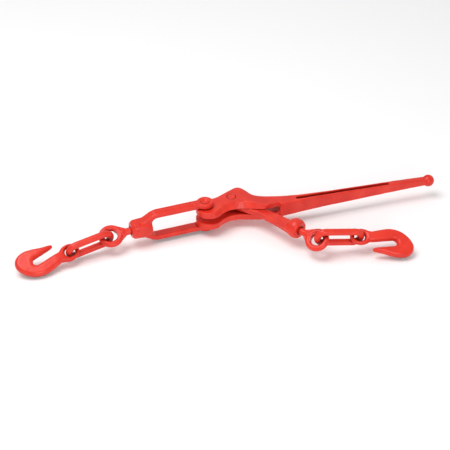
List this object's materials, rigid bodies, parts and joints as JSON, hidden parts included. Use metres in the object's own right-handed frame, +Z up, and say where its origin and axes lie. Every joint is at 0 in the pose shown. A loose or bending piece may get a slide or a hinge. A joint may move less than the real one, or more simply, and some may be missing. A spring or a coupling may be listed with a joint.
{
  "type": "lever load binder",
  "caption": "Lever-type load binder for tensioning a tie-down chain, lying open: forked yoke, long lever, toggle, and a swivel eye, link and grab hook at each end.",
  "frame": {"origin": "centre of the bounding box on the plane that the binder lies on", "axes": "+X along the binder from the left hook towards the handle's tip, +Z up, along the pivot pins; seen from -Y the handle points away to the right"},
  "size_m": [0.7338, 0.2666, 0.0623],
  "materials": {
    "red_enamel": "glossy red enamel dipped or sprayed over rough forged steel"
  },
  "bodies": {
    "yoke": {"yoke": "red_enamel", "upper_pivot_rivet": "red_enamel", "lower_pivot_rivet": "red_enamel"},
    "lever": {"lever": "red_enamel", "toggle_pin": "red_enamel"},
    "toggle": {"toggle": "red_enamel"},
    "left_eye": {"left_swivel_eye": "red_enamel"},
    "left_link": {"left_connecting_link": "red_enamel"},
    "left_hook": {"left_grab_hook": "red_enamel"},
    "right_eye": {"right_swivel_eye": "red_enamel"},
    "right_link": {"right_connecting_link": "red_enamel"},
    "right_hook": {"right_grab_hook": "red_enamel"}
  },
  "joints": [
    {"name": "lever_pivot", "type": "hinge", "parent": "yoke", "child": "lever", "pos_m": [-0.04898, 0.01452, 0.03376], "axis": [0, 0, 1], "range_deg": [-8, 172]},
    {"name": "toggle_pivot", "type": "hinge", "parent": "lever", "child": "toggle", "pos_m": [-0.00285, 0.04448, 0.03376], "axis": [0, 0, 1], "range_deg": [-119, 6]},
    {"name": "left_swivel", "type": "hinge", "parent": "yoke", "child": "left_eye", "pos_m": [-0.16474, -0.02992, 0.03376], "axis": [-0.9249, -0.3737, -0.0698], "continuous": true},
    {"name": "left_link_joint", "type": "hinge", "parent": "left_eye", "child": "left_link", "pos_m": [-0.22325, -0.05517, 0.02854], "axis": [0.4581, -0.7706, -0.4431], "range_deg": [-45, 45]},
    {"name": "left_hook_joint", "type": "hinge", "parent": "left_link", "child": "left_hook", "pos_m": [-0.26555, -0.07719, 0.02311], "axis": [0.4715, -0.8382, -0.2739], "range_deg": [-45, 45]},
    {"name": "right_swivel", "type": "hinge", "parent": "toggle", "child": "right_eye", "pos_m": [0.10831, -0.02855, 0.03376], "axis": [0.7191, -0.6944, -0.0262], "continuous": true},
    {"name": "right_link_joint", "type": "hinge", "parent": "right_eye", "child": "right_link", "pos_m": [0.15753, -0.06259, 0.03876], "axis": [-0.1264, 0.9077, 0.4002], "range_deg": [-45, 45]},
    {"name": "right_hook_joint", "type": "hinge", "parent": "right_link", "child": "right_hook", "pos_m": [0.2043, -0.0535, 0.03291], "axis": [0.159, -0.9617, -0.2233], "range_deg": [-60, 10]}
  ],
  "couplings": [
    {"joint": "toggle_pivot", "follows": "lever_pivot", "ratio": -0.69}
  ]
}
